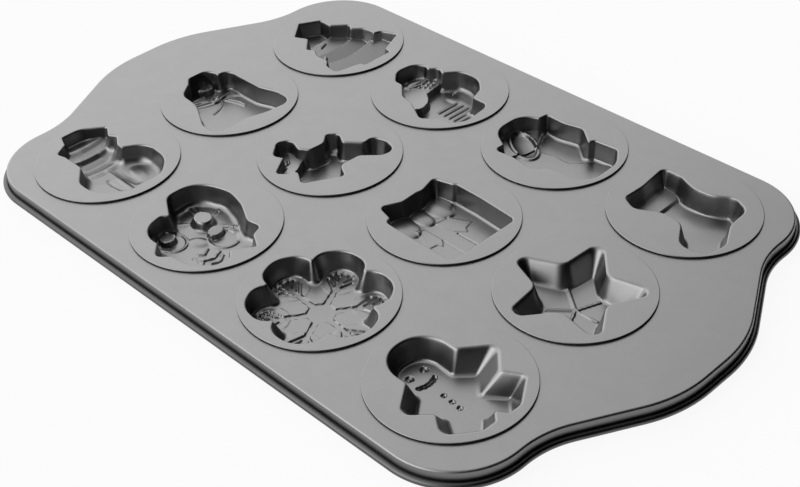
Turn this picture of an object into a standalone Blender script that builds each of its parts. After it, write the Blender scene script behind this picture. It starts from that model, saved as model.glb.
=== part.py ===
# A baking pan with twelve figure cups: a sheet tray with a rolled hem round a wire,
# and twelve pressed cups that are clinched into the tray's holes by a lip and a bead.
# Metres, +Z up. The origin is on the floor below the pan's middle.
# +X runs along the four columns and +Y along the three rows.

import math

import bmesh
import bpy

# Layout of the cups
COLUMNS = 4
ROWS = 3
LIP_RADIUS = 0.040
CUP_SPACING = 0.0065
PITCH = 2 * LIP_RADIUS + CUP_SPACING

# Shares
HUNDREDTH = 0.01

# Fits
CLEARANCE = 0.0003
OVERRUN = 0.002
EDGE_OVERRUN = 0.0002
LEAST_CORNER = 0.00015

# Cup
CAVITY_DEPTH = 0.012
CUP_WALL = 0.0008
CUP_FLOOR = 0.0014
LIP_THICKNESS = 0.0008
LIP_ROUND = 0.0004
LIP_OVERHANG = 0.0015
BEAD = 0.0007
EDGE_FLARE = 0.0008
COVE = 0.0024
PIT_DEPTH = 0.0006

# Tray
SHEET = 0.0008
SIDE_MARGIN = 0.0096
CORNER_MARGIN = 0.0116
WAIST_MARGIN = 0.0115
GRIP_REACH = 0.042
CORNER_RADIUS = 0.041
WAIST_RADIUS = 0.057
GRIP_RADIUS = 0.071
WAIST_SHARE = 0.603
GRIP_SHARE = 0.188
SHOULDER = 0.0012
RIM_DROP = 0.007
WIRE_RADIUS = 0.0007
HEM_STEP = math.radians(45)
HEM_END = math.radians(115)

# Fineness
ROUND_STEPS = 24
PIT_STEPS = 8
WIRE_STEPS = 2
ARC_ERROR = 0.0003
ARC_FIT = 0.95
MERGE = 0.00001
SHARP_ANGLE = math.radians(35)

# Heights and radii that follow
FLOOR_TOP = CUP_FLOOR
LIP_TOP = FLOOR_TOP + CAVITY_DEPTH
DECK_TOP = LIP_TOP - LIP_THICKNESS - CLEARANCE
DECK_BOTTOM = DECK_TOP - SHEET
HOLE_RADIUS = LIP_RADIUS - LIP_OVERHANG
NECK_RADIUS = HOLE_RADIUS - CLEARANCE
MOTIF_RADIUS = NECK_RADIUS - CUP_WALL
HEM_BORE = WIRE_RADIUS + CLEARANCE
HEM_RADIUS = HEM_BORE + SHEET
WIRE_HEIGHT = DECK_TOP - RIM_DROP

# Outlines of the cavities at the lip, as corners (x, y, corner radius) in hundredths of
# MOTIF_RADIUS. The figures' tops point to -X.
TREE_SHARES = [
    (-93, -4, 2), (-74, 28, 2), (-50, 27, 2), (-28, 50, 4), (-16, 43, 2), (0, 59, 13),
    (20, 60, 4), (23, 55, 2), (27, 70, 11), (55, 82, 7), (74, 36, 3), (87, 33, 4),
    (87, -23, 4), (78, -25, 3), (68, -70, 8), (43, -66, 8), (33, -55, 3), (8, -55, 11),
    (-8, -45, 3), (-19, -53, 4), (-44, -28, 4), (-65, -38, 2)]
BELL_SHARES = [
    (-93, -8, 15), (-91, 34, 20), (-67, 31, 3), (-66, 51, 15), (11, 51, 53), (40, 61, 37),
    (80, 60, 19), (75, 11, 53), (65, -21, 32), (67, -79, 17), (32, -79, 21), (-21, -49, 67),
    (-59, -46, 21), (-78, -20, 5)]
SNOWMAN_SHARES = [
    (-100, -13, 5), (-100, 19, 27), (-74, 52, 5), (-55, 40, 4), (-43, 47, 8), (-23, 34, 11),
    (-12, 34, 4), (9, 66, 32), (59, 62, 48), (88, 32, 32), (88, -32, 43), (53, -65, 43),
    (19, -64, 21), (-13, -39, 11), (-53, -39, 11), (-67, -43, 5), (-80, -21, 8)]
WREATH_SHARES = [
    (-91, 0, 21), (-91, 53, 43), (-37, 71, 48), (0, 62, 53), (35, 43, 16), (60, 47, 11),
    (68, 27, 8), (92, 13, 3), (71, -17, 4), (84, -27, 8), (83, -53, 13), (59, -75, 21),
    (24, -79, 8), (8, -95, 8), (-13, -75, 5), (-51, -75, 35), (-60, -34, 8), (-52, -25, 2)]
REINDEER_SHARES = [
    (-79, -35, 11), (-69, -15, 12), (-44, -24, 8), (-28, -14, 8), (-26, 11, 16), (-41, 29, 7),
    (-28, 44, 8), (-8, 32, 5), (18, 53, 8), (14, 72, 13), (37, 78, 21), (66, 70, 16),
    (60, 47, 8), (36, 24, 11), (34, -11, 13), (59, -25, 7), (39, -59, 21), (27, -81, 7),
    (4, -66, 5), (-4, -67, 3), (-7, -79, 7), (-19, -89, 5), (-41, -55, 3), (-57, -62, 9)]
PRESENT_SHARES = [
    (-74, 55, 7), (-44, 63, 3), (-39, 67, 3), (5, 66, 80), (77, 60, 11), (77, -66, 11),
    (-27, -65, 53), (-48, -64, 7), (-52, -54, 4), (-81, -46, 8), (-66, -15, 13), (-67, 13, 8),
    (-65, 24, 13)]
SANTA_SHARES = [
    (-91, -5, 27), (-87, 31, 24), (-69, 39, 7), (-61, 35, 4), (-48, 48, 9), (-35, 41, 4),
    (-14, 65, 24), (20, 67, 37), (44, 44, 27), (52, 20, 4), (84, 20, 16), (90, -32, 21),
    (79, -55, 11), (54, -58, 16), (32, -78, 11), (-8, -55, 32), (-32, -50, 11),
    (-57, -26, 13), (-71, -27, 11)]
ANGEL_SHARES = [
    (-91, -27, 35), (-91, 33, 37), (-65, 42, 4), (-63, 58, 4), (-32, 57, 53), (0, 65, 16),
    (29, 42, 3), (35, 51, 5), (73, 55, 13), (95, 26, 43), (96, -44, 32), (35, -47, 4),
    (11, -66, 16), (-27, -61, 53), (-58, -65, 7), (-57, -47, 4)]
STOCKING_SHARES = [
    (-80, 60, 9), (-49, 60, 19), (-21, 48, 53), (10, 51, 37), (36, 68, 16), (65, 54, 21),
    (67, 12, 37), (88, -28, 16), (82, -69, 21), (42, -68, 21), (16, -27, 24), (-16, -26, 27),
    (-52, -45, 16), (-76, -33, 11), (-74, 5, 53)]
GINGERBREAD_SHARES = [
    (-90, -41, 42), (-90, 45, 42), (-32, 45, 8), (1, 86, 12), (34, 52, 7), (63, 68, 8),
    (91, 25, 19), (90, 5, 4), (76, -4, 3), (88, -15, 7), (87, -37, 16), (57, -76, 13),
    (29, -55, 7), (-1, -85, 12), (-33, -41, 8)]

# Slope of each cavity's wall: how far it leans in, in hundredths of CAVITY_DEPTH
SLOPE_SHARES = {
    "snowman": 24, "wreath": 20, "snowflake": 20, "gingerbread": 24, "bell": 12,
    "reindeer": 20, "present": 12, "star": 70, "tree": 20, "santa": 16, "angel": 14,
    "stocking": 30}

# The star's and the snowflake's corners as (distance, corner radius), and the angle between
# a snowflake lobe's middle and side corners
STAR_TIPS = 5
STAR_TIP_SHARES = (111, 12)
STAR_VALLEY_SHARES = (46, 30)
FLAKE_LOBES = 6
FLAKE_MIDDLE_SHARES = (100, 36)
FLAKE_SIDE_SHARES = (90, 30)
FLAKE_VALLEY_SHARES = (73, 4)
STAR_TURN = math.radians(181.8)
FLAKE_TURN = math.radians(175.5)
FLAKE_SIDE_TURN = math.radians(22.3)

# Raised forms on a floor: footprints (x, y, height), with x and y in hundredths of
# MOTIF_RADIUS and the height above the floor in hundredths of CAVITY_DEPTH
TREE_PADS_SHARES = [
    [(-100, -50, 34), (-100, 40, 34), (-46, 40, 26), (-42, -50, 26)],
    [(-49, -40, 26), (-49, 40, 26), (-15, 60, 16), (-9, -60, 16)],
    [(-20, 60, 15), (-14, -60, 15), (29, -70, 5), (22, 70, 5)]]
BELL_PADS_SHARES = [
    [(-72, 9, 66), (-64, 12, 66), (-55, 9, 66), (-52, 1, 66), (-55, -8, 66), (-64, -11, 66),
     (-72, -8, 66), (-75, 0, 66)],
    [(-40, 60, 6), (-36, -60, 6), (-30, -60, 6), (-34, 60, 6)]]
SNOWMAN_PADS_SHARES = [
    [(-63, -60, 8), (-56, -60, 8), (-56, 60, 8), (-63, 60, 8)],
    [(-27, -60, 8), (-18, -60, 8), (-18, 60, 8), (-27, 60, 8)]]
WREATH_PADS_SHARES = [
    [(-34, 12, 85), (-31, 2, 85), (-21, -4, 85), (-10, 0, 85), (-6, 9, 85), (-10, 19, 85),
     (-20, 23, 85), (-31, 20, 85)]]
REINDEER_PADS_SHARES = [
    [(-34, -10, 60), (-22, -10, 60), (-6, -45, 40), (6, -72, 60), (-6, -72, 60),
     (-14, -48, 40)]]
PRESENT_PADS_SHARES = [
    [(-100, 80, 10), (-100, -80, 10), (-22, -80, 10), (-30, -30, 10), (-18, -10, 10),
     (-28, 2, 10), (-22, 14, 10), (-10, 28, 10), (-24, 44, 10), (-34, 80, 10)]]
SANTA_PADS_SHARES = [
    [(-110, -40, 16), (-110, 50, 16), (-60, 50, 20), (-38, 50, 44), (-32, 22, 46),
     (-29, 2, 46), (-14, -10, 42), (2, -20, 30), (10, -90, 20), (-60, -90, 20)]]
ANGEL_PADS_SHARES = [
    [(-110, 40, 30), (-66, 44, 34), (-52, 26, 30), (-42, 10, 20), (-46, -10, 12),
     (-60, -70, 12), (-110, -60, 12)],
    [(-36, 10, 8), (-14, 16, 8), (12, 14, 8), (24, 25, 8), (52, 37, 8), (54, 33, 8),
     (26, 20, 8), (14, 9, 8), (-14, 11, 8), (-34, 5, 8)]]
STOCKING_PADS_SHARES = [
    [(-100, -70, 13), (-39, -70, 13), (-40, 80, 13), (-100, 80, 13)]]
STAR_RIB_SHARES = (2, 36, 2, 5)
FLAKE_CELL_SHARES = [(18, 6, 8), (37, 15, 8), (62, 10, 8), (62, -10, 8), (37, -15, 8),
                     (18, -6, 8)]

# Sunk forms: footprints (x, y) in hundredths of MOTIF_RADIUS, all PIT_DEPTH deep
GINGERBREAD_ROUND_PITS_SHARES = [
    (-61, 16, 6), (-62, -8, 6), (-12, 0, 3), (3, -1, 3), (17, -2, 3)]
GINGERBREAD_PITS_SHARES = [
    [(-43, 19), (-38, 18), (-34, 3), (-38, -13), (-43, -14), (-39, 3)]]
PRESENT_PITS_SHARES = [
    [(8, 14), (8, 18), (70, 18), (70, 14)], [(8, -11), (8, -7), (70, -7), (70, -11)]]
WREATH_ROUND_PITS_SHARES = [(14, 20, 15), (-28, -38, 15)]

# Colours, roughness and metallic value
COATING = ((0.32, 0.32, 0.33, 1.0), 0.36, 0.85)
DECK_COATING = ((0.36, 0.36, 0.37, 1.0), 0.38, 0.85)
STEEL = ((0.50, 0.50, 0.51, 1.0), 0.30, 1.0)


def clear_scene():
    for item in list(bpy.data.objects):
        bpy.data.objects.remove(item)


def collection(name):
    group = bpy.data.collections.new(name)
    bpy.context.scene.collection.children.link(group)
    return group


def material(name, finish):
    colour, roughness, metallic = finish
    made = bpy.data.materials.new(name)
    made.use_nodes = True
    shader = made.node_tree.nodes["Principled BSDF"]
    shader.inputs["Base Color"].default_value = colour
    shader.inputs["Roughness"].default_value = roughness
    shader.inputs["Metallic"].default_value = metallic
    return made


def add_object(name, mesh, group, finish=None):
    item = bpy.data.objects.new(name, mesh)
    group.objects.link(item)
    if finish:
        mesh.materials.append(material(name, finish))
    else:
        item.hide_render = True
        item.display_type = "WIRE"
    return item


def boolean(item, cutter, operation):
    step = item.modifiers.new(cutter.name, "BOOLEAN")
    step.operation = operation
    step.solver = "EXACT"
    step.object = cutter


def polar(radius, angle):
    return radius * math.cos(angle), radius * math.sin(angle)


# Outlines

def star_corners():
    corners = []
    half_turn = math.pi / STAR_TIPS
    for tip in range(STAR_TIPS):
        angle = STAR_TURN - tip * 2 * half_turn
        for (distance, radius), turn in ((STAR_TIP_SHARES, 0), (STAR_VALLEY_SHARES, half_turn)):
            x, y = polar(distance, angle - turn)
            corners.append((x, y, radius))
    return corners


def flake_corners():
    corners = []
    half_turn = math.pi / FLAKE_LOBES
    for lobe in range(FLAKE_LOBES):
        angle = FLAKE_TURN - lobe * 2 * half_turn
        places = ((FLAKE_SIDE_SHARES, -FLAKE_SIDE_TURN), (FLAKE_MIDDLE_SHARES, 0),
                  (FLAKE_SIDE_SHARES, FLAKE_SIDE_TURN), (FLAKE_VALLEY_SHARES, half_turn))
        for (distance, radius), turn in places:
            x, y = polar(distance, angle - turn)
            corners.append((x, y, radius))
    return corners


def scaled(shares, sizes):
    """Turns rows of hundredths into lengths, one size for each column."""
    return [tuple(share * HUNDREDTH * size for share, size in zip(row, sizes)) for row in shares]


def counter_clockwise(corners):
    area = 0
    for (x, y, _), (next_x, next_y, _) in zip(corners, corners[1:] + corners[:1]):
        area += x * next_y - next_x * y
    return corners if area > 0 else corners[::-1]


def rounded_ring(corners, grow):
    """Points round an outline whose edges are moved outwards by grow, always as many."""
    corners = counter_clockwise(corners)
    headings = []
    for (x, y, _), (next_x, next_y, _) in zip(corners, corners[1:] + corners[:1]):
        headings.append(math.atan2(next_y - y, next_x - x))
    turns = [math.remainder(heading - headings[index - 1], 2 * math.pi)
             for index, heading in enumerate(headings)]
    sides = [math.copysign(1, turn) for turn in turns]
    arcs = fitted_arcs(corners, turns, sides, grow)
    points = []
    for (x, y, radius), heading, turn, side, arc in zip(corners, headings, turns, sides, arcs):
        reach = (grow - side * arc) / math.cos(turn / 2)
        dx, dy = polar(reach, heading - (math.pi + turn) / 2)
        largest_step = 2 * math.acos(1 - min(ARC_ERROR / radius, 1))
        steps = math.ceil(abs(turn) / largest_step)
        start = heading - turn - side * math.pi / 2
        for step in range(steps + 1):
            arc_x, arc_y = polar(arc, start + turn * step / steps)
            points.append((x + dx + arc_x, y + dy + arc_y))
    return points


def fitted_arcs(corners, turns, sides, grow):
    """Corner radii after the edges have moved, less where two corners would overlap."""
    arcs = [max(radius + side * grow, LEAST_CORNER)
            for (_, _, radius), side in zip(corners, sides)]
    tangents = [math.tan(abs(turn) / 2) for turn in turns]
    shares = [1] * len(corners)
    for index, (x, y, _) in enumerate(corners):
        last_x, last_y, _ = corners[index - 1]
        length = math.hypot(x - last_x, y - last_y)
        length += grow * (sides[index] * tangents[index] + sides[index - 1] * tangents[index - 1])
        taken = arcs[index] * tangents[index] + arcs[index - 1] * tangents[index - 1]
        share = max(ARC_FIT * length / taken, 0)
        shares[index] = min(shares[index], share)
        shares[index - 1] = min(shares[index - 1], share)
    return [max(arc * share, LEAST_CORNER) for arc, share in zip(arcs, shares)]


# Solids

def loft(name, rings):
    """A closed mesh through rings of equally many points, from bottom to top or back."""
    mesh = bpy.data.meshes.new(name)
    form = bmesh.new()
    rows = [[form.verts.new(point) for point in ring] for ring in rings]
    for low, high in zip(rows, rows[1:]):
        for index in range(len(low)):
            after = (index + 1) % len(low)
            form.faces.new((low[index], low[after], high[after], high[index]))
    bmesh.ops.triangulate(form, faces=form.faces[:])
    form.faces.new(rows[0])
    form.faces.new(rows[-1])
    bmesh.ops.recalc_face_normals(form, faces=form.faces[:])
    form.to_mesh(mesh)
    form.free()
    mesh.shade_smooth()
    mesh.set_sharp_from_angle(angle=SHARP_ANGLE)
    return mesh


def level(points, height):
    return [(x, y, height) for x, y in points]


def moved(points, centre):
    return [(x + centre[0], y + centre[1]) for x, y in points]


def turned(name, profile, group, finish=None):
    """A solid turned round Z from a profile that runs down its outer side."""
    mesh = bpy.data.meshes.new(name)
    edges = [(index, index + 1) for index in range(len(profile) - 1)]
    mesh.from_pydata([(radius, 0, height) for radius, height in profile], edges, [])
    item = add_object(name, mesh, group, finish)
    screw = item.modifiers.new("turn", "SCREW")
    screw.steps = ROUND_STEPS
    screw.render_steps = ROUND_STEPS
    screw.use_merge_vertices = True
    screw.merge_threshold = MERGE
    return item


def discs(name, centres, radius, low, high, group):
    """One upright cylinder at each centre, as a single cutter."""
    mesh = bpy.data.meshes.new(name)
    form = bmesh.new()
    for x, y in centres:
        made = bmesh.ops.create_cone(form, cap_ends=True, segments=ROUND_STEPS, radius1=radius,
                                     radius2=radius, depth=high - low)
        bmesh.ops.translate(form, verts=made["verts"], vec=(x, y, (low + high) / 2))
    form.to_mesh(mesh)
    form.free()
    return add_object(name, mesh, group)


# Tray

def tray_corners():
    half_width = PITCH * (ROWS - 1) / 2 + LIP_RADIUS + SIDE_MARGIN
    end = PITCH * (COLUMNS - 1) / 2 + LIP_RADIUS
    quarter = [(end + CORNER_MARGIN, half_width, CORNER_RADIUS),
               (end + WAIST_MARGIN, half_width * WAIST_SHARE, WAIST_RADIUS),
               (end + GRIP_REACH, half_width * GRIP_SHARE, GRIP_RADIUS)]
    right = quarter + [(x, -y, radius) for x, y, radius in quarter[::-1]]
    return right + [(-x, -y, radius) for x, y, radius in right]


def hem_profile():
    """The sheet's section at the rim as (outward, height), from the deck's top round the
    wire and back to the deck's underside."""
    shoulder = SHOULDER * (1 - math.cos(math.pi / 4))
    profile = [(-SHOULDER, DECK_TOP), (-shoulder, DECK_TOP - shoulder), (0, DECK_TOP - SHOULDER)]
    inner = []
    angle = math.pi
    while angle < 2 * math.pi + HEM_END:
        inner.append(angle)
        angle += HEM_STEP
    inner.append(2 * math.pi + HEM_END)
    for radius, angles in ((HEM_BORE, inner), (HEM_RADIUS, inner[::-1])):
        for angle in angles:
            out, up = polar(radius, angle)
            profile.append((HEM_BORE + out, WIRE_HEIGHT + up))
    profile.append((-SHEET, DECK_BOTTOM - (SHOULDER - SHEET)))
    profile.append((-SHOULDER, DECK_BOTTOM))
    return profile


def make_tray(parts, cutters, centres):
    rings = [level(rounded_ring(tray_corners(), out), height) for out, height in hem_profile()]
    tray = add_object("tray", loft("tray", rings), parts, DECK_COATING)
    holes = discs("holes", centres, HOLE_RADIUS, DECK_BOTTOM - OVERRUN, LIP_TOP + OVERRUN,
                  cutters)
    boolean(tray, holes, "DIFFERENCE")


def make_wire(parts):
    points = rounded_ring(tray_corners(), HEM_BORE)
    curve = bpy.data.curves.new("rim_wire", "CURVE")
    curve.dimensions = "3D"
    curve.bevel_depth = WIRE_RADIUS
    curve.bevel_resolution = WIRE_STEPS
    path = curve.splines.new("POLY")
    path.points.add(len(points) - 1)
    path.use_cyclic_u = True
    for target, (x, y) in zip(path.points, points):
        target.co = (x, y, WIRE_HEIGHT, 1)
    curve.materials.append(material("rim_wire", STEEL))
    parts.objects.link(bpy.data.objects.new("rim_wire", curve))


# Cups

def lip_profile():
    """Half section of the lip, the neck and the bead, down the outside and back."""
    under = LIP_TOP - LIP_THICKNESS
    bead_top = DECK_BOTTOM - CLEARANCE
    return [(0, LIP_TOP), (LIP_RADIUS - LIP_ROUND, LIP_TOP), (LIP_RADIUS, LIP_TOP - LIP_ROUND),
            (LIP_RADIUS - LIP_ROUND / 2, under), (NECK_RADIUS, under), (NECK_RADIUS, bead_top),
            (NECK_RADIUS + BEAD, bead_top - BEAD / 2), (NECK_RADIUS, bead_top - BEAD),
            (MOTIF_RADIUS, bead_top - BEAD), (MOTIF_RADIUS, LIP_TOP - CUP_WALL),
            (0, LIP_TOP - CUP_WALL)]


def cavity_rings(corners, slope):
    """Rings of a cavity from above its flared edge down to its coved floor."""
    inset = slope * CAVITY_DEPTH
    wall_foot = inset * (1 - COVE / CAVITY_DEPTH)
    levels = [(EDGE_FLARE + EDGE_OVERRUN, LIP_TOP + EDGE_OVERRUN), (0, LIP_TOP - EDGE_FLARE),
              (-wall_foot, FLOOR_TOP + COVE), (-inset - COVE / 2, FLOOR_TOP)]
    return [level(rounded_ring(corners, grow), height) for grow, height in levels]


def shell_rings(corners, slope):
    """Rings of the cup's outside: a wall thicker than the cavity, and a flat bottom."""
    inset = slope * CAVITY_DEPTH
    levels = [(CUP_WALL, LIP_TOP - CUP_WALL / 2), (CUP_WALL - inset, 0)]
    return [level(rounded_ring(corners, grow), height) for grow, height in levels]


def prism(name, footprint, low, heights, centre, group):
    points = moved(footprint, centre)
    rings = [level(points, low), [(x, y, high) for (x, y), high in zip(points, heights)]]
    return add_object(name, loft(name, rings), group)


def star_ribs():
    """Five thin ribs from the middle of the star's floor to its inner corners."""
    start, end, half_width, height = STAR_RIB_SHARES
    ribs = []
    for rib in range(STAR_TIPS):
        angle = STAR_TURN + (2 * rib + 1) * math.pi / STAR_TIPS
        along = polar(1, angle)
        across = (-along[1], along[0])
        rib_corners = ((start, half_width), (end, half_width), (end, -half_width),
                       (start, -half_width))
        ribs.append([(run * along[0] + side * across[0], run * along[1] + side * across[1], height)
                     for run, side in rib_corners])
    return ribs


def flake_cells():
    """Six raised cells on the snowflake's floor, which leave its spokes between them."""
    cells = []
    for cell in range(FLAKE_LOBES):
        angle = FLAKE_TURN + (2 * cell + 1) * math.pi / FLAKE_LOBES
        along = polar(1, angle)
        cells.append([(run * along[0] - side * along[1], run * along[1] + side * along[0], height)
                      for run, side, height in FLAKE_CELL_SHARES])
    return cells


def round_footprint(x, y, radius):
    points = [polar(radius, 2 * math.pi * step / PIT_STEPS) for step in range(PIT_STEPS)]
    return moved(points, (x, y))


def make_cup(name, centre, corner_shares, pads, pits, parts, cutters):
    slope = SLOPE_SHARES[name] * HUNDREDTH
    lengths = (MOTIF_RADIUS, MOTIF_RADIUS, MOTIF_RADIUS)
    corners = [(x + centre[0], y + centre[1], radius)
               for x, y, radius in scaled(corner_shares, lengths)]
    cup = turned("cup_" + name, lip_profile(), parts, COATING)
    cup.location = (centre[0], centre[1], 0)
    shell = add_object(name + "_shell", loft(name + "_shell", shell_rings(corners, slope)), cutters)
    core = add_object(name + "_core", loft(name + "_core", cavity_rings(corners, slope)), cutters)
    for index, pad in enumerate(pads):
        rows = scaled(pad, (MOTIF_RADIUS, MOTIF_RADIUS, CAVITY_DEPTH))
        solid = prism("%s_pad_%d" % (name, index), [(x, y) for x, y, _ in rows],
                      FLOOR_TOP - OVERRUN, [FLOOR_TOP + rise for _, _, rise in rows], centre,
                      cutters)
        boolean(core, solid, "DIFFERENCE")
    for index, pit in enumerate(pits):
        footprint = scaled(pit, (MOTIF_RADIUS, MOTIF_RADIUS))
        top = FLOOR_TOP + COVE
        solid = prism("%s_pit_%d" % (name, index), footprint, FLOOR_TOP - PIT_DEPTH,
                      [top] * len(footprint), centre, cutters)
        boolean(core, solid, "UNION")
    boolean(cup, shell, "UNION")
    boolean(cup, core, "DIFFERENCE")


def cup_table():
    """Each cup as column, row, outline, raised forms and sunk forms."""
    faces = [round_footprint(*pit) for pit in GINGERBREAD_ROUND_PITS_SHARES]
    bells = [round_footprint(*pit) for pit in WREATH_ROUND_PITS_SHARES]
    return {
        "snowman": (0, 0, SNOWMAN_SHARES, SNOWMAN_PADS_SHARES, []),
        "wreath": (1, 0, WREATH_SHARES, WREATH_PADS_SHARES, bells),
        "snowflake": (2, 0, flake_corners(), flake_cells(), []),
        "gingerbread": (3, 0, GINGERBREAD_SHARES, [], faces + GINGERBREAD_PITS_SHARES),
        "bell": (0, 1, BELL_SHARES, BELL_PADS_SHARES, []),
        "reindeer": (1, 1, REINDEER_SHARES, REINDEER_PADS_SHARES, []),
        "present": (2, 1, PRESENT_SHARES, PRESENT_PADS_SHARES, PRESENT_PITS_SHARES),
        "star": (3, 1, star_corners(), star_ribs(), []),
        "tree": (0, 2, TREE_SHARES, TREE_PADS_SHARES, []),
        "santa": (1, 2, SANTA_SHARES, SANTA_PADS_SHARES, []),
        "angel": (2, 2, ANGEL_SHARES, ANGEL_PADS_SHARES, []),
        "stocking": (3, 2, STOCKING_SHARES, STOCKING_PADS_SHARES, []),
    }


def main():
    clear_scene()
    parts = collection("figure_cake_pan")
    cutters = collection("cutters")
    centres = {}
    table = cup_table()
    for name, (column, row, *_) in table.items():
        centres[name] = ((column - (COLUMNS - 1) / 2) * PITCH, (row - (ROWS - 1) / 2) * PITCH)
    make_tray(parts, cutters, list(centres.values()))
    make_wire(parts)
    for name, (_, _, corners, pads, pits) in table.items():
        make_cup(name, centres[name], corners, pads, pits, parts, cutters)


main()
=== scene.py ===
"""A baking pan with twelve figure cups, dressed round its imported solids: the fine sheet
surfaces, their satin coating, the hem's wire, a pale floor, soft light and the camera."""

import math
import bmesh
import bpy
import numpy as np
from bpy.props import FloatProperty, FloatVectorProperty, PointerProperty
from mathutils import Matrix, Vector
from mathutils.geometry import delaunay_2d_cdt


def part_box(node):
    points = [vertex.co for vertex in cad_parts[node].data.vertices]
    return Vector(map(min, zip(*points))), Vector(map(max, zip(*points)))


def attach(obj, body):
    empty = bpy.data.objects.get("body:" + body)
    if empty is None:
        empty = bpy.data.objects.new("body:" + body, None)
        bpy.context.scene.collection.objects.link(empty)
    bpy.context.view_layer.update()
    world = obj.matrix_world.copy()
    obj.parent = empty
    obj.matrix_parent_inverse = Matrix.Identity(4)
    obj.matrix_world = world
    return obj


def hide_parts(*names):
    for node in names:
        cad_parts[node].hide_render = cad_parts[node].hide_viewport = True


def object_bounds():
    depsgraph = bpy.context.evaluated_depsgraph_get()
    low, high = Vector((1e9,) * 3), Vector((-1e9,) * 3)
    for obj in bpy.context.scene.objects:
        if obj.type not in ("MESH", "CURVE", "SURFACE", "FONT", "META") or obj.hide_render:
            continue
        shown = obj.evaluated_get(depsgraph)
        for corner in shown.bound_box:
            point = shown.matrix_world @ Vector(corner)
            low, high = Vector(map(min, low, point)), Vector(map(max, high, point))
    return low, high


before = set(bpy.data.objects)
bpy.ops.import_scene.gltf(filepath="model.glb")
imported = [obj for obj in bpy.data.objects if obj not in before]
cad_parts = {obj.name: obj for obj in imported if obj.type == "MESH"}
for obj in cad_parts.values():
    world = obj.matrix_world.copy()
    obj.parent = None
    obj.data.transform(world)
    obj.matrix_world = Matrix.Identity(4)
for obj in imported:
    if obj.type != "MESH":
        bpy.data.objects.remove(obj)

bl_info = {
    "name": "Figure cake pan",
    "version": (1, 0, 0),
    "blender": (4, 5, 0),
    "location": "3D View > Sidebar > Cake pan",
    "description": "Builds a coated baking pan with twelve figure cups",
    "category": "Object",
}

CAD_LOW, CAD_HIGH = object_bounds()
TRAY_LOW, TRAY_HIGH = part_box("tray")
CUP_NODES = sorted(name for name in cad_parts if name.startswith("cup_"))
CUP_LOW, CUP_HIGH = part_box(CUP_NODES[0])
WIRE_LOW, WIRE_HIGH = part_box("rim_wire")

HUNDREDTH = 0.01
MILLIMETRE = 0.001

# Sizes that the frame gives
LIP_TOP = CUP_HIGH.z
LIP_RADIUS = (CUP_HIGH.x - CUP_LOW.x) / 2
WIRE_HEIGHT = (WIRE_LOW.z + WIRE_HIGH.z) / 2
HEM_RADIUS = WIRE_HEIGHT - TRAY_LOW.z
TRAY_END = TRAY_HIGH.x - HEM_RADIUS
TRAY_SIDE = TRAY_HIGH.y - HEM_RADIUS

# Sheets, seats and gaps
CUP_FLOOR = 0.0014
CUP_WALL = 0.0008
SHEET = 0.0008
CLEARANCE = 0.0003
LIP_THICKNESS = 0.0008
LIP_OVERHANG = 0.0015
BEAD = 0.0007
HEM_BORE = HEM_RADIUS - SHEET

CAVITY_DEPTH = LIP_TOP - CUP_FLOOR
DECK_TOP = LIP_TOP - LIP_THICKNESS - CLEARANCE
DECK_BOTTOM = DECK_TOP - SHEET
HOLE_RADIUS = LIP_RADIUS - LIP_OVERHANG
NECK_RADIUS = HOLE_RADIUS - CLEARANCE
MOTIF_RADIUS = NECK_RADIUS - CUP_WALL

# Tray outline: the deck's edge, as distances past the outer cups' lips
CORNER_MARGIN = 0.0116
WAIST_MARGIN = 0.0115
GRIP_REACH = 0.042
CORNER_RADIUS = 0.041
WAIST_RADIUS = 0.057
GRIP_RADIUS = 0.071
WAIST_SHARE = 0.603
GRIP_SHARE = 0.188

# Rim, holes and lips. The hem's sheet goes round the wire from 180 degrees, at the foot of the
# wall, to HEM_END.
SHOULDER = 0.0012
HEM_END = 475
HOLE_ROUND = 0.0002
LIP_ROUND = 0.00035

# Fineness: the steps of each stretch, and the angle from which an edge looks sharp
CIRCLE_STEPS = 144
RING_STEPS = 24
EDGE_STEPS = 5
WALL_STEPS = 9
COVE_STEPS = 6
LIP_STEPS = 5
LIP_UNDER_STEPS = 4
BEAD_STEPS = 6
SHOULDER_STEPS = 8
SHOULDER_UNDER_STEPS = 5
HEM_INNER_STEPS = 32
HEM_OUTER_STEPS = 36
HEM_TIP_STEPS = 5
HOLE_STEPS = 3
SHARP_ANGLE = math.radians(40)

# Least corner radius, the flat band beside each rounded edge, the part of an edge that the
# rounds at its two ends may take, and the distance in millimetres at which points merge
LEAST_CORNER = 0.00015
FLAT_MARGIN = 0.00012
ARC_FIT = 0.95
MERGE_MM = 1e-6

# How far outside its outline a cavity's rounded edge starts, in radii of that edge, and how
# far the floor's grid keeps from its wall, in steps of the grid
EDGE_OUT_SHARE = 0.7
GRID_MARGIN_SHARE = 0.55

# The fillets round the relief and the height up the cove at which sunk marks end, in
# hundredths of CAVITY_DEPTH, and the shell's rings in hundredths of the way down
FILLET_SHARE = 8
SUNK_REACH_SHARE = 12
SHELL_SHARES = (0, 50, 100)

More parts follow.
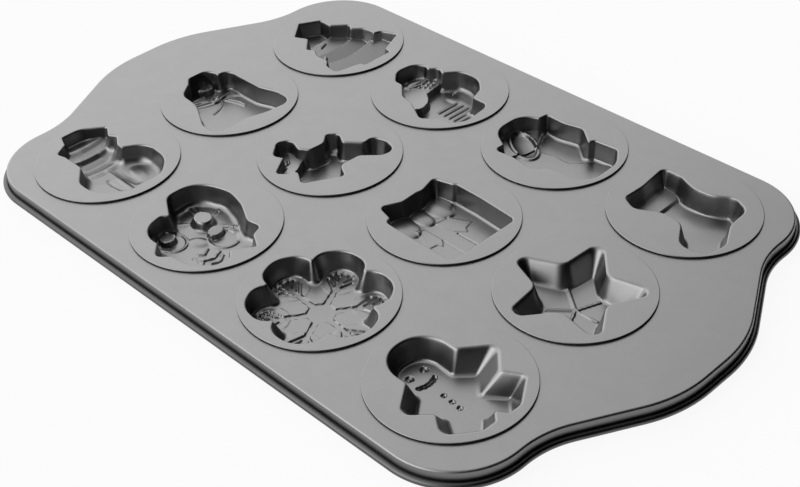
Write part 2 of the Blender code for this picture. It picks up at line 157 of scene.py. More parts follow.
# Outlines of the cavities at the lip, as corners (x, y, corner radius) in hundredths of
# MOTIF_RADIUS. The figures' tops point to -X.
TREE_SHARES = [
    (-93, -4, 2), (-74, 28, 2), (-50, 27, 2), (-28, 50, 4), (-16, 43, 2), (0, 59, 13),
    (20, 60, 4), (23, 55, 2), (27, 70, 11), (55, 82, 7), (74, 36, 3), (87, 33, 4),
    (87, -23, 4), (78, -25, 3), (68, -70, 8), (43, -66, 8), (33, -55, 3), (8, -55, 11),
    (-8, -45, 3), (-19, -53, 4), (-44, -28, 4), (-65, -38, 2)]
BELL_SHARES = [
    (-93, -8, 15), (-91, 34, 20), (-67, 31, 3), (-66, 51, 15), (11, 51, 53), (40, 61, 37),
    (80, 60, 19), (75, 11, 53), (65, -21, 32), (67, -79, 17), (32, -79, 21), (-21, -49, 67),
    (-59, -46, 21), (-78, -20, 5)]
SNOWMAN_SHARES = [
    (-100, -13, 5), (-100, 19, 27), (-74, 52, 5), (-55, 40, 4), (-43, 47, 8), (-23, 34, 11),
    (-12, 34, 4), (9, 66, 32), (59, 62, 48), (88, 32, 32), (88, -32, 43), (53, -65, 43),
    (19, -64, 21), (-13, -39, 11), (-53, -39, 11), (-67, -43, 5), (-80, -21, 8)]
WREATH_SHARES = [
    (-91, 0, 21), (-91, 53, 43), (-37, 71, 48), (0, 62, 53), (35, 43, 16), (60, 47, 11),
    (68, 27, 8), (92, 13, 3), (71, -17, 4), (84, -27, 8), (83, -53, 13), (59, -75, 21),
    (24, -79, 8), (8, -95, 8), (-13, -75, 5), (-51, -75, 35), (-60, -34, 8), (-52, -25, 2)]
REINDEER_SHARES = [
    (-79, -35, 11), (-69, -15, 12), (-44, -24, 8), (-28, -14, 8), (-26, 11, 16), (-41, 29, 7),
    (-28, 44, 8), (-8, 32, 5), (18, 53, 8), (14, 72, 13), (37, 78, 21), (66, 70, 16),
    (60, 47, 8), (36, 24, 11), (34, -11, 13), (59, -25, 7), (39, -59, 21), (27, -81, 7),
    (4, -66, 5), (-4, -67, 3), (-7, -79, 7), (-19, -89, 5), (-41, -55, 3), (-57, -62, 9)]
PRESENT_SHARES = [
    (-74, 55, 7), (-44, 63, 3), (-39, 67, 3), (5, 66, 80), (77, 60, 11), (77, -66, 11),
    (-27, -65, 53), (-48, -64, 7), (-52, -54, 4), (-81, -46, 8), (-66, -15, 13), (-67, 13, 8),
    (-65, 24, 13)]
SANTA_SHARES = [
    (-91, -5, 27), (-87, 31, 24), (-69, 39, 7), (-61, 35, 4), (-48, 48, 9), (-35, 41, 4),
    (-14, 65, 24), (20, 67, 37), (44, 44, 27), (52, 20, 4), (84, 20, 16), (90, -32, 21),
    (79, -55, 11), (54, -58, 16), (32, -78, 11), (-8, -55, 32), (-32, -50, 11),
    (-57, -26, 13), (-71, -27, 11)]
ANGEL_SHARES = [
    (-91, -27, 35), (-91, 33, 37), (-65, 42, 4), (-63, 58, 4), (-32, 57, 53), (0, 65, 16),
    (29, 42, 3), (35, 51, 5), (73, 55, 13), (95, 26, 43), (96, -44, 32), (35, -47, 4),
    (11, -66, 16), (-27, -61, 53), (-58, -65, 7), (-57, -47, 4)]
STOCKING_SHARES = [
    (-80, 60, 9), (-49, 60, 19), (-21, 48, 53), (10, 51, 37), (36, 68, 16), (65, 54, 21),
    (67, 12, 37), (88, -28, 16), (82, -69, 21), (42, -68, 21), (16, -27, 24), (-16, -26, 27),
    (-52, -45, 16), (-76, -33, 11), (-74, 5, 53)]
GINGERBREAD_SHARES = [
    (-90, -41, 42), (-90, 45, 42), (-32, 45, 8), (1, 86, 12), (34, 52, 7), (63, 68, 8),
    (91, 25, 19), (90, 5, 4), (76, -4, 3), (88, -15, 7), (87, -37, 16), (57, -76, 13),
    (29, -55, 7), (-1, -85, 12), (-33, -41, 8)]
GINGERBREAD_FOOT_SHARES = [
    (-82, -34, 34), (-82, 36, 34), (-26, 31, 6), (-4, 53, 4), (24, 26, 4), (53, 49, 3),
    (82, 22, 12), (79, 9, 4), (55, 1, 3), (66, -12, 5), (77, -30, 10), (49, -48, 6),
    (23, -31, 5), (-2, -60, 6), (-27, -28, 5)]

# The star's and the snowflake's corners as (distance, corner radius), at the lip and at the
# floor, where the star's middle is shifted. A snowflake lobe has a middle and two side corners.
STAR_TIPS = 5
STAR_TURN = math.radians(181.8)
STAR_HALF_TURN = math.pi / STAR_TIPS
STAR_TIP_SHARES = (111, 12)
STAR_VALLEY_SHARES = (50, 18)
STAR_FOOT_TIP_SHARES = (74, 4)
STAR_FOOT_VALLEY_SHARES = (38, 30)
STAR_FOOT_SHIFT_SHARES = (5, -5)
FLAKE_LOBES = 6
FLAKE_TURN = math.radians(175.5)
FLAKE_HALF_TURN = math.pi / FLAKE_LOBES
FLAKE_MIDDLE_SHARES = (100, 36)
FLAKE_SIDE_SHARES = (90, 30)
FLAKE_SIDE_TURN = math.radians(22.3)
FLAKE_VALLEY_SHARES = (73, 4)
FLAKE_FOOT_VALLEY_SHARES = (60, 4)

# The snowflake's relief: the reach of an arm, its side branches as (distance from the middle,
# length) with their lean, the disc in each lobe as (distance, radius), and half the corners of
# the raised cell between two arms as (outwards, sideways)
FLAKE_ARM_SHARE = 84
FLAKE_BRANCH_SHARES = ((46, 27), (58, 24), (70, 16))
FLAKE_BRANCH_LEAN = math.radians(38)
FLAKE_DISC_SHARES = (66, 26)
FLAKE_CELL_SHARES = [(19, 6), (37, 17), (70, 14)]

# Lean of each cavity's wall in hundredths of its height, and its cove's radius in
# hundredths of CAVITY_DEPTH
WALL_SHARES = {
    "snowman": (22, 60), "wreath": (18, 36), "snowflake": (18, 24), "gingerbread": (0, 12),
    "bell": (10, 18), "reindeer": (16, 14), "present": (10, 16), "star": (0, 8),
    "tree": (18, 24), "santa": (15, 26), "angel": (12, 18), "stocking": (28, 14)}


def polar(radius, angle):
    return radius * math.cos(angle), radius * math.sin(angle)


def smooth(values):
    """Eases 0 to 1 with level ends."""
    values = np.clip(values, 0, 1)
    return values * values * (3 - 2 * values)


def smooth_max(first, second, blend):
    """The larger of two heights, with a fillet where they meet."""
    near = np.clip(blend - np.abs(first - second), 0, None)
    return np.maximum(first, second) + near * near / (4 * blend)


def neighbours(items):
    """Each item with the next one, round a closed list."""
    return zip(items, items[1:] + items[:1])


# Outlines

def radial_corners(start, half_turn, count, places, shift=(0, 0)):
    """Corners that repeat round a middle, from places of (distance, corner radius) and turn."""
    corners = []
    for copy in range(count):
        angle = start - copy * 2 * half_turn
        for (distance, radius), turn in places:
            x, y = polar(distance, angle - turn)
            corners.append((x + shift[0], y + shift[1], radius))
    return corners


def star_corners(tip, valley, shift=(0, 0)):
    places = ((tip, 0), (valley, STAR_HALF_TURN))
    return radial_corners(STAR_TURN, STAR_HALF_TURN, STAR_TIPS, places, shift)


def flake_corners(valley):
    places = ((FLAKE_SIDE_SHARES, -FLAKE_SIDE_TURN), (FLAKE_MIDDLE_SHARES, 0),
              (FLAKE_SIDE_SHARES, FLAKE_SIDE_TURN), (valley, FLAKE_HALF_TURN))
    return radial_corners(FLAKE_TURN, FLAKE_HALF_TURN, FLAKE_LOBES, places)


class Outline:
    """A closed outline with rounded corners, which gives rings of equally many points."""

    def __init__(self, corners, arc_turn, straight_step, like=None):
        area = 0
        for (x, y, _), (next_x, next_y, _) in neighbours(corners):
            area += x * next_y - next_x * y
        self.corners = corners if area > 0 else corners[::-1]
        self.steps = (arc_turn, straight_step)
        self.headings = []
        for (x, y, _), (next_x, next_y, _) in neighbours(self.corners):
            self.headings.append(math.atan2(next_y - y, next_x - x))
        self.turns = [math.remainder(heading - self.headings[index - 1], 2 * math.pi)
                      for index, heading in enumerate(self.headings)]
        self.sides = [math.copysign(1, turn) for turn in self.turns]
        self.tangents = [math.tan(abs(turn) / 2) for turn in self.turns]
        if like:
            self.arc_steps = like.arc_steps
            self.straight_steps = like.straight_steps
        else:
            self.arc_steps = [max(2, math.ceil(abs(turn) / arc_turn)) for turn in self.turns]
            self.straight_steps = self.count_straights(straight_step)

    def towards(self, foot, share):
        """An outline with equally many points, some way from this one to another."""
        corners = [tuple(here + (there - here) * share for here, there in zip(corner, end))
                   for corner, end in zip(self.corners, foot.corners)]
        return Outline(corners, *self.steps, like=self)

    def edge_length(self, index):
        """Length of the edge that ends at a corner."""
        x, y, _ = self.corners[index]
        last_x, last_y, _ = self.corners[index - 1]
        return math.hypot(x - last_x, y - last_y)

    def count_straights(self, straight_step):
        arcs = self.arcs(0)
        counts = []
        for index in range(len(self.corners)):
            straight = self.edge_length(index)
            straight -= arcs[index] * self.tangents[index]
            straight -= arcs[index - 1] * self.tangents[index - 1]
            counts.append(max(1, round(straight / straight_step)))
        return counts

    def arcs(self, grow):
        """Corner radii after the edges have moved, less where two corners would overlap."""
        arcs = [max(radius + side * grow, LEAST_CORNER)
                for (_, _, radius), side in zip(self.corners, self.sides)]
        shares = [1] * len(arcs)
        for index in range(len(arcs)):
            ends = self.sides[index] * self.tangents[index]
            ends += self.sides[index - 1] * self.tangents[index - 1]
            length = self.edge_length(index) + grow * ends
            taken = arcs[index] * self.tangents[index]
            taken += arcs[index - 1] * self.tangents[index - 1]
            share = max(ARC_FIT * length / taken, 0)
            shares[index] = min(shares[index], share)
            shares[index - 1] = min(shares[index - 1], share)
        return [max(arc * share, LEAST_CORNER) for arc, share in zip(arcs, shares)]

    def ring(self, grow):
        """Points round the outline with its edges moved outwards by grow."""
        arcs = self.arcs(grow)
        points = []
        for index, (x, y, _) in enumerate(self.corners):
            turn = self.turns[index]
            side = self.sides[index]
            reach = (grow - side * arcs[index]) / math.cos(turn / 2)
            dx, dy = polar(reach, self.headings[index] - (math.pi + turn) / 2)
            start = self.headings[index] - turn - side * math.pi / 2
            arc = []
            for step in range(self.arc_steps[index] + 1):
                arc_x, arc_y = polar(arcs[index], start + turn * step / self.arc_steps[index])
                arc.append((x + dx + arc_x, y + dy + arc_y))
            points.append(arc)
        ring = []
        for index, arc in enumerate(points):
            last_x, last_y = points[index - 1][-1]
            first_x, first_y = arc[0]
            for step in range(1, self.straight_steps[index]):
                share = step / self.straight_steps[index]
                ring.append((last_x + (first_x - last_x) * share,
                             last_y + (first_y - last_y) * share))
            ring.extend(arc)
        return np.array(ring)


# Relief on the cavity floors. Heights are in hundredths of CAVITY_DEPTH; places, half
# widths and softness are in hundredths of MOTIF_RADIUS.
#   bands  (rows of x and height, bend, middle y, rise): heights along the figure. Away from
#          the middle y the rows bend to the figure's top and rise, both with the square of the
#          distance and by the amounts given at BAND_REACH_SHARE.
#   steps  (corners (x, y, height), softness of the edge): a level or tilted plateau, where it
#          is higher than what lies there
#   cuts   (points, half width, softness): channels through bands and steps, down to the floor
#   lines  (points, half width, softness, height): ridges, or grooves where height is negative
#   mounds (x, y, half length, half width, turn in degrees, height): ovals with soft edges
#   caps   the same with steep edges
BAND_REACH_SHARE = 50


def level_step(points, softness, height):
    return [(x, y, height) for x, y in points], softness


def disc(x, y, radius, height):
    """A round mound or cap."""
    return x, y, radius, radius, 0, height


def spoke(middle, angle, near, far):
    """The two ends of a straight line that points away from a middle."""
    ends = []
    for distance in (near, far):
        dx, dy = polar(distance, angle)
        ends.append((middle[0] + dx, middle[1] + dy))
    return ends


def ring_points(x, y, radius_x, radius_y, turn=0):
    """Points round an ellipse, the last on the first, with its turn in degrees."""
    points = []
    for step in range(RING_STEPS + 1):
        angle = math.radians(360 * step / RING_STEPS)
        along = radius_x * math.cos(angle)
        across = radius_y * math.sin(angle)
        tilt = math.radians(turn)
        points.append((x + along * math.cos(tilt) - across * math.sin(tilt),
                       y + along * math.sin(tilt) + across * math.cos(tilt)))
    return points


def star_relief():
    hub = (6, -5)
    ends = [(21, 34), (47, -4), (20, -38), (-30, -36), (-30, 22)]
    return {"lines": [([hub, end], 1.2, 1.8, 6) for end in ends],
            "bands": [([(-100, 22), (-60, 12), (-20, 3), (10, 0), (100, 0)], 0, 0, 0)]}


def flake_relief():
    cell = FLAKE_CELL_SHARES + [(run, -side) for run, side in FLAKE_CELL_SHARES[::-1]]
    disc_place, disc_radius = FLAKE_DISC_SHARES
    cuts = []
    steps = []
    for lobe in range(FLAKE_LOBES):
        angle = FLAKE_TURN + lobe * 2 * FLAKE_HALF_TURN
        cuts.append((spoke((0, 0), angle, 0, FLAKE_ARM_SHARE), 3, 1.4))
        for start, length in FLAKE_BRANCH_SHARES:
            for lean in (-FLAKE_BRANCH_LEAN, FLAKE_BRANCH_LEAN):
                cuts.append((spoke(polar(start, angle), angle + lean, 0, length), 1.5, 1.4))
        x, y = polar(disc_place, angle)
        steps.append(level_step(ring_points(x, y, disc_radius, disc_radius), 1.6, 8))
        x, y = polar(1, angle + FLAKE_HALF_TURN)
        corners = [(run * x - side * y, run * y + side * x) for run, side in cell]
        steps.append(level_step(corners, 1.4, 6))
    return {"steps": steps, "cuts": cuts}


def gingerbread_relief():
    eyes = [(-59, 15, 5.5), (-60, -10, 5.5)]
    buttons = [(-9, -2, 4), (6, -3, 4), (20, -4, 4)]
    dish_to_bead = 2.4
    caps = []
    for x, y, radius in eyes + buttons:
        caps += [disc(x, y, radius, -9), disc(x, y, radius / dish_to_bead, 7)]
    smile = [(-40, 14), (-37, 8), (-36, 0), (-37, -8), (-40, -14)]
    return {"caps": caps, "lines": [(smile, 2.4, 1.6, -9), (smile, 0.5, 1.4, 7)]}


def tree_relief():
    tiers = [(-100, 26), (-50, 16), (-47.5, 32), (-14, 10), (-11.5, 38), (20, 6), (23, 42),
             (72, 2), (75, 12), (100, 12)]
    marks = [([(-4, -26), (4, -34)], 0.8, 1.6, 5), ([(-40, 4), (-36, -8)], 0.8, 1.6, 5)]
    return {"bands": [(tiers, 5, 0, 14)], "lines": marks}


def bell_relief():
    slope = ([(-71, -60, 0), (-72, 70, 0), (-110, 70, 181), (-110, -60, 181)], 2)
    bow = level_step([(-75, -40), (-54, -34), (-45, -14), (-41, 0), (-46, 20), (-40, 36),
                      (-30, 46), (-75, 56)], 5, 6)
    ring = level_step(ring_points(-79, 11, 13, 14), 3, 36)
    knot = (ring_points(-49, 7, 6, 6), 1, 1.6, 6)
    tails = [([(-42, 15), (-31, 7), (-24, -6), (-20, -20)], 0.7, 1.5, 5),
             ([(-40, 20), (-18, 27), (-3, 30)], 0.7, 1.5, 5),
             ([(-38, 26), (-20, 33), (-6, 33), (-3, 30)], 0.7, 1.5, 4)]
    folds = [([(-66, -24), (-55, -4)], 1, 2.5, 6), ([(-58, -26), (-50, -2)], 1, 2.5, 6),
             ([(-64, 40), (-54, 16)], 1, 2.5, 6), ([(-52, 40), (-47, 18)], 1, 2.5, 6)]
    return {"steps": [slope, bow, ring], "lines": [knot] + tails + folds,
            "caps": [disc(-79, 11, 6.5, -24)]}


def snowman_relief():
    bands = [(-110, 50), (-90, 42), (-80, 46), (-76, 46), (-68, 34), (-60, 27), (-56, 28),
             (-49, 12), (-36, 0), (-24, 5), (-19, 13), (-16, 13), (-8, 6), (10, 2), (100, 6)]
    return {
        "bands": [(bands, 6, 3, 12)],
        "lines": [([(-10, 2), (16, 3), (48, 2)], 0.8, 5, 4),
                  ([(8, -10), (22, -11), (38, -9)], 0.8, 4, -4),
                  ([(-8, 16), (16, 15), (40, 18)], 1.5, 7, -3)],
        "mounds": [(22, 34, 30, 12, -8, 5)]}


def wreath_relief():
    island = level_step(ring_points(-34, 18, 17, 15), 7, 38)
    plugs = [level_step(ring_points(-41, -41, 13, 13), 3, 26),
             level_step(ring_points(-4, 16, 10, 13), 3, 22)]
    rib_turns = (20, 32, 95, 107, 160, 172, 230, 242)
    middle, rib_start, rib_end = (-36, 20), 22, 50
    ribs = [(spoke(middle, math.radians(turn), rib_start, rib_end), 1, 2.2, 9)
            for turn in rib_turns]
    bells = [(ring_points(10, 18, 23, 22), 0.8, 2.4, 6),
             (ring_points(-34, -38, 22, 20), 0.8, 2.4, 6)]
    bows = [([(14, -14), (20, -24), (14, -30)], 1, 2, 8),
            ([(30, -6), (36, -20), (30, -34)], 1, 2, 8),
            ([(40, -8), (48, -20), (42, -30)], 1, 2, 8), ([(16, -40), (34, -38)], 1, 2, 6)]
    return {
        "steps": [island] + plugs, "lines": ribs + bells + bows,
        "mounds": [(-36, 20, 46, 44, 0, 9), (-8, -12, 20, 14, 30, 8)]}


def reindeer_relief():
    neck = ([(-60, -90, 40), (-90, -30, 26), (-62, 4, 42), (-50, 14, 50), (-37, -14, 50),
             (-22, -42, 46), (-12, -66, 44), (-20, -100, 44)], 6)
    marks = [([(-50, -40), (-44, -44), (-44, -50)], 0.8, 1.6, 6),
             ([(-60, -46), (-56, -52)], 0.8, 1.6, 6), ([(-38, -54), (-34, -60)], 0.8, 1.6, 6)]
    legs = [([(-45, 34, 40), (-30, 27, 4), (4, 51, 4), (14, 72, 40), (-10, 60, 50),
              (-30, 50, 50)], 3),
            ([(34, 68, 2), (48, 80, 16), (60, 70, 16), (48, 58, 2)], 4)]
    return {"steps": [neck] + legs, "lines": marks}


def present_relief():
    bow = [(-54, 38, 35, 21, 0, 18), (-52, 4, 27, 14, 0, 15), (-54, -26, 33, 18, -8, 16)]
    tails = [level_step([(-26, 8), (-10, 9), (5, 13), (20, 25), (12, 30), (8, 47), (-5, 40),
                         (-22, 32)], 1.2, 4),
             level_step([(-28, -12), (8, -12), (18, -22), (10, -25), (8, -38), (-3, -38),
                         (-15, -30), (-30, -27)], 1.2, 4)]
    lines = [([(12, 14), (70, 14)], 0.7, 1.2, -5), ([(8, -12), (70, -12)], 0.7, 1.2, -5)]
    return {"caps": bow, "steps": tails, "lines": lines}


def santa_relief():
    body = ([(-110, -60, 18), (-110, 60, 18), (-60, 60, 32), (-36, 50, 44), (-32, 22, 46),
             (-29, 2, 46), (-16, -8, 46), (-8, -18, 46), (-3, -34, 40), (-30, -90, 30),
             (-60, -90, 30)], 3)
    start, row_step, tuft_step = Vector((-66, 44)), Vector((7, 4)), Vector((3, -9))
    fur = []
    for row in range(3):
        for tuft in range(5):
            x, y = start + row_step * row + tuft_step * tuft
            fur.append(disc(x, y, 3, 7))
    caps = [disc(-14, 44, 4.5, -8), disc(-14, 44, 1.8, 6)]
    ribs = [([(x, -14), (x + 1, 26)], 0.8, 2.6, 6) for x in (10, 21, 32, 42, 51)]
    face = [(ring_points(-70, 14, 11, 21, turn=-12), 1, 2.4, 7)]
    return {"steps": [body], "caps": caps + fur, "lines": ribs + face,
            "mounds": [(-70, 14, 9, 18, -12, 9), (6, 32, 24, 12, 10, 6)]}


def angel_relief():
    wing = ([(-110, 60, 34), (-62, 52, 22), (-52, 30, 18), (-42, 14, 14), (-46, -10, 14),
             (-60, -70, 20), (-110, -60, 34)], 4)
    robe = level_step([(-60, 8), (-34, 9), (-14, 15), (17, 14), (28, 26), (64, 48), (110, 44),
                       (110, -80), (-60, -80)], 1.6, 6)
    hair = (ring_points(-58, 0, 33, 19, turn=-28), 1.2, 3, 8)
    return {"steps": [wing, robe], "lines": [hair], "caps": [(-59, 1, 31, 17, -28, -16)]}


def stocking_relief():
    cuff = ([(-110, -90, 24), (-110, 90, 24), (-42, 90, 13), (-37, -90, 13)], 3)
    return {"steps": [cuff], "mounds": [(18, 22, 46, 30, 20, 4)]}


FIGURES = {
    "snowman": (SNOWMAN_SHARES, snowman_relief), "wreath": (WREATH_SHARES, wreath_relief),
    "snowflake": (flake_corners(FLAKE_VALLEY_SHARES), flake_relief),
    "gingerbread": (GINGERBREAD_SHARES, gingerbread_relief),
    "bell": (BELL_SHARES, bell_relief), "reindeer": (REINDEER_SHARES, reindeer_relief),
    "present": (PRESENT_SHARES, present_relief),
    "star": (star_corners(STAR_TIP_SHARES, STAR_VALLEY_SHARES), star_relief),
    "tree": (TREE_SHARES, tree_relief), "santa": (SANTA_SHARES, santa_relief),
    "angel": (ANGEL_SHARES, angel_relief), "stocking": (STOCKING_SHARES, stocking_relief)}

# Outlines at the floor of the cavities whose walls don't all lean alike
FOOTS = {
    "gingerbread": GINGERBREAD_FOOT_SHARES, "snowflake": flake_corners(FLAKE_FOOT_VALLEY_SHARES),
    "star": star_corners(STAR_FOOT_TIP_SHARES, STAR_FOOT_VALLEY_SHARES, STAR_FOOT_SHIFT_SHARES)}


def distance_to_line(x, y, points):
    """Least distance from each place to an open line of points."""
    best = np.full(x.shape, np.inf)
    for (ax, ay), (bx, by) in zip(points, points[1:]):
        dx, dy = bx - ax, by - ay
        if dx == dy == 0:
            continue
        share = np.clip(((x - ax) * dx + (y - ay) * dy) / (dx * dx + dy * dy), 0, 1)
        best = np.minimum(best, np.hypot(x - ax - share * dx, y - ay - share * dy))
    return best


def inside(x, y, points):
    """Whether each place lies inside a closed polygon."""
    result = np.zeros(x.shape, bool)
    for (ax, ay), (bx, by) in zip(points, np.roll(points, -1, axis=0)):
        if ay == by:
            continue
        crosses = (ay > y) != (by > y)
        result ^= crosses & (x < (bx - ax) * (y - ay) / (by - ay) + ax)
    return result


def tilted_plane(points, x, y):
    """Height at each place on the plane that fits the points best."""
    corners = np.array(points, float)
    columns = np.stack([corners[:, 0], corners[:, 1], np.ones(len(corners))], 1)
    slope_x, slope_y, height = np.linalg.lstsq(columns, corners[:, 2], rcond=None)[0]
    return slope_x * x + slope_y * y + height


def elliptic_reach(x, y, mound):
    """Square of the distance from a mound's middle, 1 at its edge."""
    centre_x, centre_y, half_length, half_width, turn, _ = mound
    tilt = math.radians(turn)
    along = (x - centre_x) * math.cos(tilt) + (y - centre_y) * math.sin(tilt)
    across = (y - centre_y) * math.cos(tilt) - (x - centre_x) * math.sin(tilt)
    return (along / half_length) ** 2 + (across / half_width) ** 2


def relief_height(relief, x, y):
    """Height of the floor's relief above the plain floor, in hundredths of the depth."""
    base = np.zeros(x.shape)
    for rows, bending, middle, rise in relief.get("bands", ()):
        across = ((y - middle) / BAND_REACH_SHARE) ** 2
        places, levels = zip(*rows)
        level = np.interp(x + bending * across, places, levels)
        base = np.maximum(base, level + rise * across)
    for points, softness in relief.get("steps", ()):
        border = [(corner_x, corner_y) for corner_x, corner_y, _ in points]
        edge = distance_to_line(x, y, border + border[:1])
        signed = np.where(inside(x, y, border), edge, -edge)
        height = np.clip(tilted_plane(points, x, y), 0, None)
        share = smooth(signed / softness + 1 / 2)
        base = np.where(height > base, base + (height - base) * share, base)
    for points, half_width, softness in relief.get("cuts", ()):
        base *= smooth((distance_to_line(x, y, points) - half_width) / softness)
    forms = [np.zeros(x.shape)]
    for points, half_width, softness, height in relief.get("lines", ()):
        away = (distance_to_line(x, y, points) - half_width) / softness
        forms.append(height * smooth(1 - away))
    for mound in relief.get("mounds", ()):
        forms.append(mound[-1] * smooth(1 - elliptic_reach(x, y, mound)))
    for cap in relief.get("caps", ()):
        forms.append(cap[-1] * np.sqrt(np.clip(1 - elliptic_reach(x, y, cap), 0, 1)))
    return base + np.max(forms, 0) + np.min(forms, 0)


# Meshes

class Sheet:
    """Collects points and faces of one closed body."""

    def __init__(self):
        self.points = []
        self.faces = []

    def add(self, ring, heights):
        """Adds a ring of points and returns their numbers."""
        start = len(self.points)
        heights = np.broadcast_to(heights, len(ring))
        self.points.extend((x, y, z) for (x, y), z in zip(ring.tolist(), heights.tolist()))
        return list(range(start, len(self.points)))

    def loft(self, rows):
        """Joins rings of equally many points."""
        for low, high in zip(rows, rows[1:]):
            for index, here in enumerate(low):
                last = index - 1
                self.faces.append((low[last], here, high[index], high[last]))

    def fill(self, loops, extra=()):
        """Triangles inside the first loop and outside the others, through extra points."""
        numbers = [number for loop in loops for number in loop] + list(extra)
        flat = [Vector(self.points[number][:2]) / MILLIMETRE for number in numbers]
        edges = []
        rings = []
        start = 0
        for loop in loops:
            count = len(loop)
            edges.extend((start + index, start + (index + 1) % count) for index in range(count))
            rings.append(np.array([corner[:] for corner in flat[start:start + count]]))
            start += count
        _, _, faces, origins, _, _ = delaunay_2d_cdt(flat, edges, [], 0, MERGE_MM, True)
        corners = np.array([(flat[origin[0]].x, flat[origin[0]].y) for origin in origins])
        middles = np.array([corners[face].mean(0) for face in faces])
        kept = inside(middles[:, 0], middles[:, 1], rings[0])
        for ring in rings[1:]:
            kept &= ~inside(middles[:, 0], middles[:, 1], ring)
        for face, keep in zip(faces, kept):
            if keep:
                self.faces.append(tuple(numbers[origins[corner][0]] for corner in face))

    def build(self, name):
        mesh = bpy.data.meshes.new(name)
        mesh.from_pydata(self.points, [], self.faces)
        form = bmesh.new()
        form.from_mesh(mesh)
        bmesh.ops.recalc_face_normals(form, faces=form.faces[:])
        form.to_mesh(mesh)
        form.free()
        mesh.shade_smooth()
        mesh.set_sharp_from_angle(angle=SHARP_ANGLE)
        return mesh


def circle(radius, centre):
    angles = np.arange(CIRCLE_STEPS) * 2 * math.pi / CIRCLE_STEPS
    return np.stack([centre[0] + radius * np.cos(angles), centre[1] + radius * np.sin(angles)], 1)


def bend(centre_out, centre_height, radius, start, end, steps):
    """Profile points (outward, height) on an arc, with its angles in degrees."""
    points = []
    for step in range(steps + 1):
        out, up = polar(radius, math.radians(start + (end - start) * step / steps))
        points.append((centre_out + out, centre_height + up))
    return points


# Cups

def wall_profile(lean, cove_radius, edge_radius):
    """(inset, depth) down a drafted wall with a rounded edge above and a cove below."""
    slant = math.atan(lean)
    edge_start = edge_radius * EDGE_OUT_SHARE
    profile = []
    for step in range(EDGE_STEPS + 1):
        angle = (math.pi / 2 - slant) * step / EDGE_STEPS
        profile.append((edge_radius * math.sin(angle) - edge_start,
                        edge_radius * (1 - math.cos(angle))))
    last_inset, last_depth = profile[-1]
    foot_depth = CAVITY_DEPTH - cove_radius * (1 - math.sin(slant))
    foot_inset = last_inset + (foot_depth - last_depth) * lean
    for step in range(1, WALL_STEPS):
        share = step / WALL_STEPS
        profile.append((last_inset + (foot_inset - last_inset) * share,
                        last_depth + (foot_depth - last_depth) * share))
    floor_inset = foot_inset + cove_radius * math.cos(slant)
    for step in range(COVE_STEPS + 1):
        angle = (math.pi / 2 - slant) * (1 - step / COVE_STEPS)
        profile.append((floor_inset - cove_radius * math.sin(angle),
                        CAVITY_DEPTH - cove_radius * (1 - math.cos(angle))))
    return profile


def grid_inside(ring, step):
    """Points of a triangular grid that lie well inside a ring."""
    low = ring.min(0)
    high = ring.max(0)
    rows = np.arange(low[1], high[1], step * math.sqrt(3 / 4))
    points = []
    for index, y in enumerate(rows):
        xs = np.arange(low[0] + step / 2 * (index % 2), high[0], step)
        points.append(np.stack([xs, np.full(xs.shape, y)], 1))
    points = np.concatenate(points)
    kept = inside(points[:, 0], points[:, 1], ring)
    points = points[kept]
    edge = distance_to_line(points[:, 0], points[:, 1], np.vstack([ring, ring[:1]]).tolist())
    return points[edge > step * GRID_MARGIN_SHARE]


def outlines(name, centre, settings):
    """A cavity's outlines at the lip and at the floor."""
    scale = MOTIF_RADIUS * HUNDREDTH
    made = []
    for shares in (FIGURES[name][0], FOOTS.get(name, FIGURES[name][0])):
        corners = [(x * scale + centre[0], y * scale + centre[1], radius * scale)
                   for x, y, radius in shares]
        made.append(Outline(corners, settings.arc_turn, settings.straight_step))
    return made


def cavity(sheet, name, centre, settings):
    """Adds a cup's cavity and returns the numbers of its flat ring at the lip."""
    lean, cove = WALL_SHARES[name]
    outline, foot = outlines(name, centre, settings)
    relief = FIGURES[name][1]()
    scale = MOTIF_RADIUS * HUNDREDTH
    depth_unit = CAVITY_DEPTH * HUNDREDTH

    def surface(points, base):
        """Heights of points on the wall, cove or floor, which lie at base without relief."""
        x = (points[:, 0] - centre[0]) / scale
        y = (points[:, 1] - centre[1]) / scale
        form = relief_height(relief, x, y) * depth_unit
        low = np.minimum(form, 0) * smooth(1 - base / (depth_unit * SUNK_REACH_SHARE))
        high = np.maximum(form, 0)
        blend = depth_unit * FILLET_SHARE
        top = smooth_max(np.full(high.shape, base), high, blend)
        # The fillet lifts two equal heights by a quarter of the blend
        top -= blend / 4 * smooth(1 - high / blend)
        top = np.where(high > 0, np.maximum(top, base), base)
        return np.minimum(CUP_FLOOR + top + low, LIP_TOP)

    profile = wall_profile(lean * HUNDREDTH, cove * depth_unit, settings.edge_radius)
    rows = [sheet.add(outline.ring(FLAT_MARGIN - profile[0][0]), LIP_TOP)]
    for inset, depth in profile:
        ring = outline.towards(foot, depth / CAVITY_DEPTH).ring(-inset)
        rows.append(sheet.add(ring, surface(ring, CAVITY_DEPTH - depth)))
    sheet.loft(rows)
    inner = grid_inside(ring, settings.floor_step)
    extra = sheet.add(inner, surface(inner, 0.0))
    sheet.fill([rows[-1]], extra)
    return rows[0]


def shell(sheet, name, centre, settings):
    """Adds the cup's outside below the lip and returns the numbers of its top ring."""
    outline, foot = outlines(name, centre, settings)
    lean = WALL_SHARES[name][0]
    drop = LIP_TOP - CUP_WALL
    rows = []
    for share in SHELL_SHARES:
        height = drop * (1 - share * HUNDREDTH)
        inset = lean * HUNDREDTH * (drop - height)
        section = outline.towards(foot, 1 - height / LIP_TOP)
        ring = held_in(section.ring(CUP_WALL - inset), centre, MOTIF_RADIUS - FLAT_MARGIN)
        rows.append(sheet.add(ring, height))
    sheet.loft(rows)
    sheet.fill([rows[-1]])
    return rows[0]


